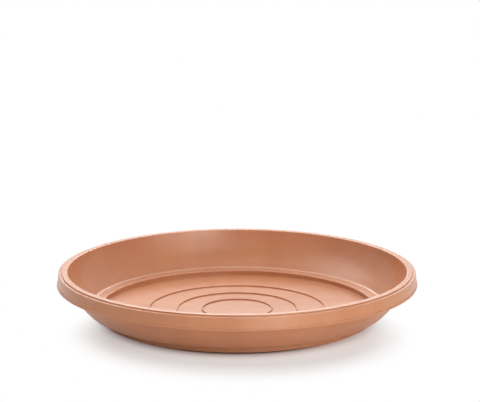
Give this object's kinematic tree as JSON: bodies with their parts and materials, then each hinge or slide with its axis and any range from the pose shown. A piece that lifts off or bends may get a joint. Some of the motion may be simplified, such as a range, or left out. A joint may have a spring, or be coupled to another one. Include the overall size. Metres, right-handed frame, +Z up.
{
  "type": "plant saucer",
  "caption": "Round moulded plastic saucer that stands under a plant pot and catches its water, with a sloped side, a stepped rim with a hanging band, and ribs on its floor.",
  "frame": {"origin": "centre of the saucer on the surface that it stands on", "axes": "+Z up along the axis of revolution, out of the open mouth; +X and +Y are alike"},
  "size_m": [0.36, 0.36, 0.0466],
  "materials": {
    "terracotta_plastic": "satin, as moulded"
  },
  "bodies": {
    "root": {"saucer": "terracotta_plastic"}
  },
  "joints": []
}
